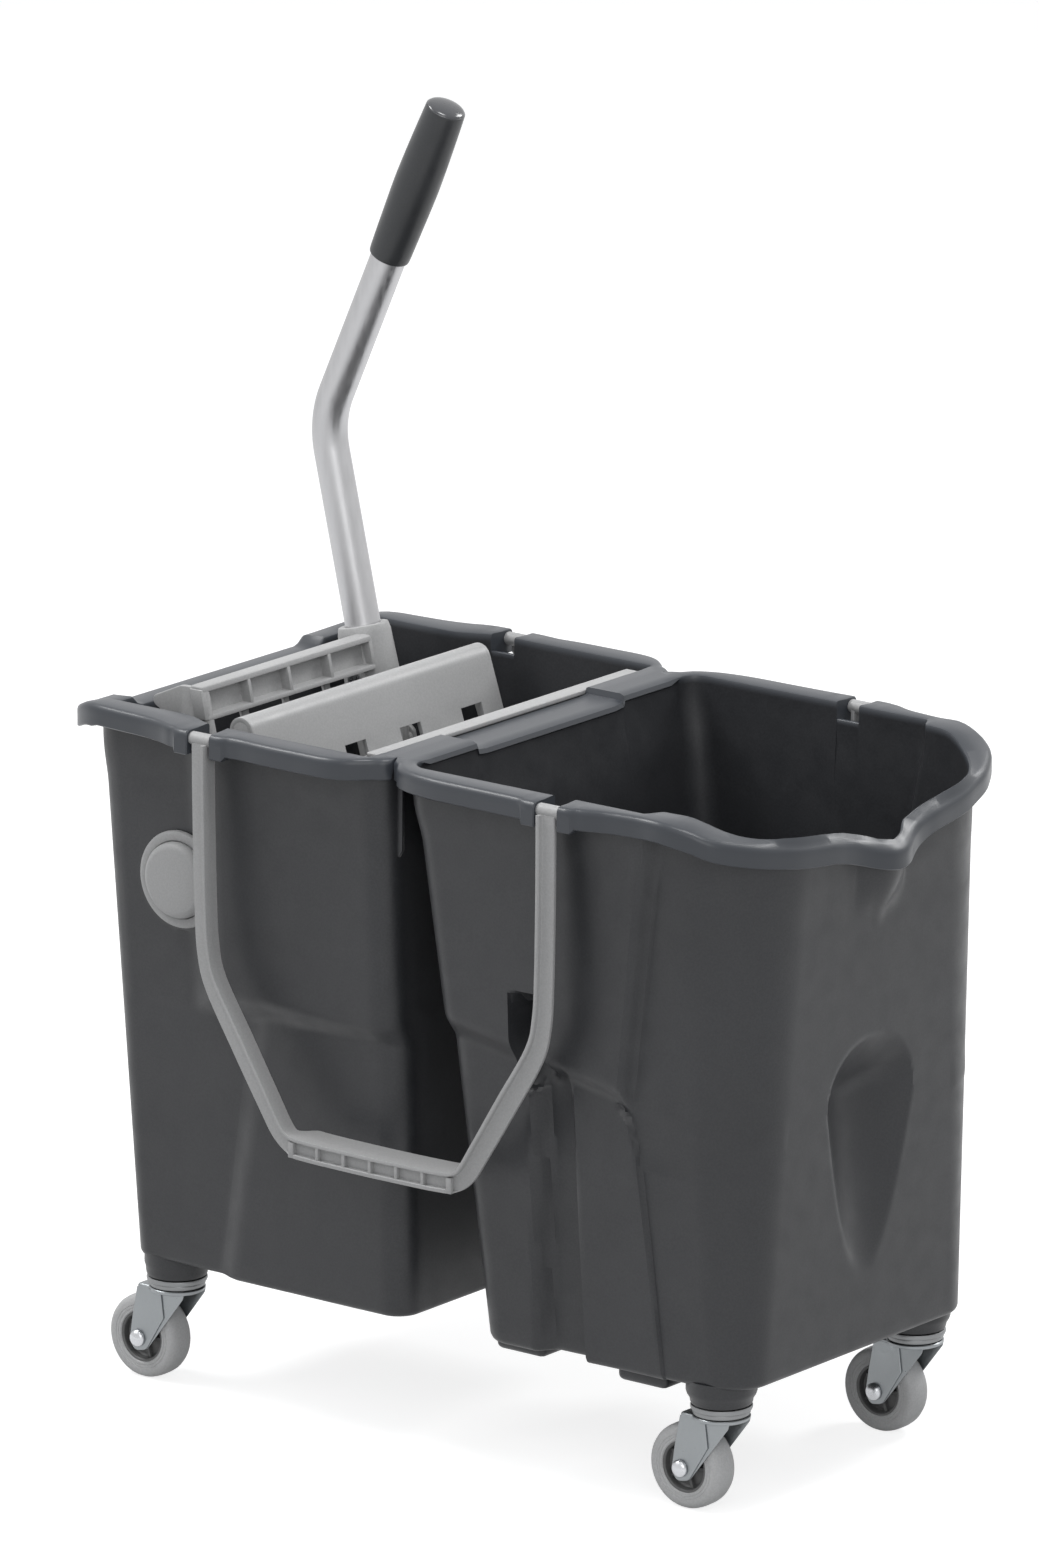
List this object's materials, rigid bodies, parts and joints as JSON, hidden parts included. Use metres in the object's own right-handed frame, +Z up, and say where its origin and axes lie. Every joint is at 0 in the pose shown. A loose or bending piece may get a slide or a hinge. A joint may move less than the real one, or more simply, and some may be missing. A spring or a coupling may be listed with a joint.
{
  "type": "cleaning trolley",
  "caption": "Twin-pail mop trolley with a lever press wringer, pouring spout, swing handles and swivel casters.",
  "frame": {"origin": "centre of the trolley's footprint box at floor level", "axes": "+X from the wringer end to the spout end, +Y toward the rear side with the lever, +Z up"},
  "size_m": [0.634, 0.38, 0.9286],
  "materials": {
    "tub_plastic": "fine-grained charcoal moulding, smoother on the rim",
    "trim_plastic": "satin mid grey moulding",
    "wringer_plastic": "satin light grey moulding",
    "lever_aluminium": "satin drawn tube",
    "grip_plastic": "satin dark grip with a glossy end",
    "tyre_rubber": "grey non-marking tread",
    "hub_plastic": "grey moulded core",
    "zinc_steel": "zinc-plated pressed steel",
    "bright_steel": "bright plated"
  },
  "bodies": {
    "trolley": {"twin_tub": "tub_plastic", "fixed_sieve": "wringer_plastic", "press_plate_pin": "zinc_steel", "front_pivot_axle": "zinc_steel", "front_pivot_ring": "trim_plastic", "front_pivot_cap": "trim_plastic", "rear_pivot_axle": "zinc_steel", "rear_pivot_ring": "trim_plastic", "rear_pivot_cap": "trim_plastic", "front_left_kingpin": "zinc_steel", "front_left_raceway": "zinc_steel", "rear_left_kingpin": "zinc_steel", "rear_left_raceway": "zinc_steel", "front_right_kingpin": "zinc_steel", "front_right_raceway": "zinc_steel", "rear_right_kingpin": "zinc_steel", "rear_right_raceway": "zinc_steel"},
    "front_handle": {"front_handle": "trim_plastic"},
    "rear_handle": {"rear_handle": "trim_plastic"},
    "press_lever": {"press_frame": "wringer_plastic", "lever_tube": "lever_aluminium", "lever_grip": "grip_plastic", "lever_screw": "bright_steel"},
    "press_plate": {"press_plate": "wringer_plastic"},
    "front_left_swivel": {"front_left_fork": "zinc_steel", "front_left_axle_bolt": "bright_steel", "front_left_axle_nut": "bright_steel"},
    "front_left_wheel": {"front_left_hub": "hub_plastic", "front_left_tyre": "tyre_rubber"},
    "rear_left_swivel": {"rear_left_fork": "zinc_steel", "rear_left_axle_bolt": "bright_steel", "rear_left_axle_nut": "bright_steel"},
    "rear_left_wheel": {"rear_left_hub": "hub_plastic", "rear_left_tyre": "tyre_rubber"},
    "front_right_swivel": {"front_right_fork": "zinc_steel", "front_right_axle_bolt": "bright_steel", "front_right_axle_nut": "bright_steel"},
    "front_right_wheel": {"front_right_hub": "hub_plastic", "front_right_tyre": "tyre_rubber"},
    "rear_right_swivel": {"rear_right_fork": "zinc_steel", "rear_right_axle_bolt": "bright_steel", "rear_right_axle_nut": "bright_steel"},
    "rear_right_wheel": {"rear_right_hub": "hub_plastic", "rear_right_tyre": "tyre_rubber"}
  },
  "joints": [
    {"name": "front_handle_swing", "type": "hinge", "parent": "trolley", "child": "front_handle", "pos_m": [-0.0125, -0.1813, 0.5112], "axis": [-1, 0, 0], "range_deg": [0, 180]},
    {"name": "rear_handle_swing", "type": "hinge", "parent": "trolley", "child": "rear_handle", "pos_m": [-0.0125, 0.1813, 0.5112], "axis": [1, 0, 0], "range_deg": [0, 180]},
    {"name": "press_lever_tilt", "type": "hinge", "parent": "trolley", "child": "press_lever", "pos_m": [-0.216, 0, 0.394], "axis": [0, 1, 0], "range_deg": [0, 42]},
    {"name": "press_plate_tilt", "type": "hinge", "parent": "trolley", "child": "press_plate", "pos_m": [-0.089, 0, 0.286], "axis": [0, 1, 0], "range_deg": [0, 19]},
    {"name": "front_left_swivel_turn", "type": "hinge", "parent": "trolley", "child": "front_left_swivel", "pos_m": [-0.253, -0.1142, 0.07], "axis": [0, 0, 1], "continuous": true},
    {"name": "front_left_wheel_spin", "type": "hinge", "parent": "front_left_swivel", "child": "front_left_wheel", "pos_m": [-0.2785, -0.1142, 0.0315], "axis": [0, 1, 0], "continuous": true},
    {"name": "rear_left_swivel_turn", "type": "hinge", "parent": "trolley", "child": "rear_left_swivel", "pos_m": [-0.253, 0.1142, 0.07], "axis": [0, 0, 1], "continuous": true},
    {"name": "rear_left_wheel_spin", "type": "hinge", "parent": "rear_left_swivel", "child": "rear_left_wheel", "pos_m": [-0.2785, 0.1142, 0.0315], "axis": [0, 1, 0], "continuous": true},
    {"name": "front_right_swivel_turn", "type": "hinge", "parent": "trolley", "child": "front_right_swivel", "pos_m": [0.246, -0.1142, 0.07], "axis": [0, 0, 1], "continuous": true},
    {"name": "front_right_wheel_spin", "type": "hinge", "parent": "front_right_swivel", "child": "front_right_wheel", "pos_m": [0.2205, -0.1142, 0.0315], "axis": [0, 1, 0], "continuous": true},
    {"name": "rear_right_swivel_turn", "type": "hinge", "parent": "trolley", "child": "rear_right_swivel", "pos_m": [0.246, 0.1142, 0.07], "axis": [0, 0, 1], "continuous": true},
    {"name": "rear_right_wheel_spin", "type": "hinge", "parent": "rear_right_swivel", "child": "rear_right_wheel", "pos_m": [0.2205, 0.1142, 0.0315], "axis": [0, 1, 0], "continuous": true}
  ],
  "couplings": [
    {"joint": "press_plate_tilt", "follows": "press_lever_tilt", "ratio": 0.43}
  ]
}
